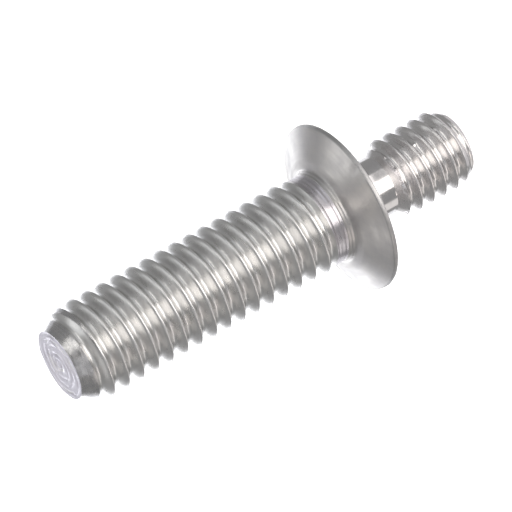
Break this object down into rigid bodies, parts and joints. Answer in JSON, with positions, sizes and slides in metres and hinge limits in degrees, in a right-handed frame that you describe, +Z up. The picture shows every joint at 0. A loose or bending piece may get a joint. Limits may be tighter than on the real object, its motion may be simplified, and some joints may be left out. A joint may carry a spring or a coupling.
{
  "type": "nose cone stud",
  "caption": "Stainless steel shouldered stud with a long and a short thread either side of a thin bevelled flange, to hold a nose cone on the end of a shaft or hub",
  "frame": {"origin": "centre of the small thread's end face, on which the stud stands", "axes": "+Z up the stud's axis from the small thread to the large thread"},
  "size_m": [0.0168, 0.0168, 0.0444],
  "materials": {
    "stainless_steel": "bright turned"
  },
  "bodies": {
    "root": {"nose_cone_stud": "stainless_steel"}
  },
  "joints": []
}
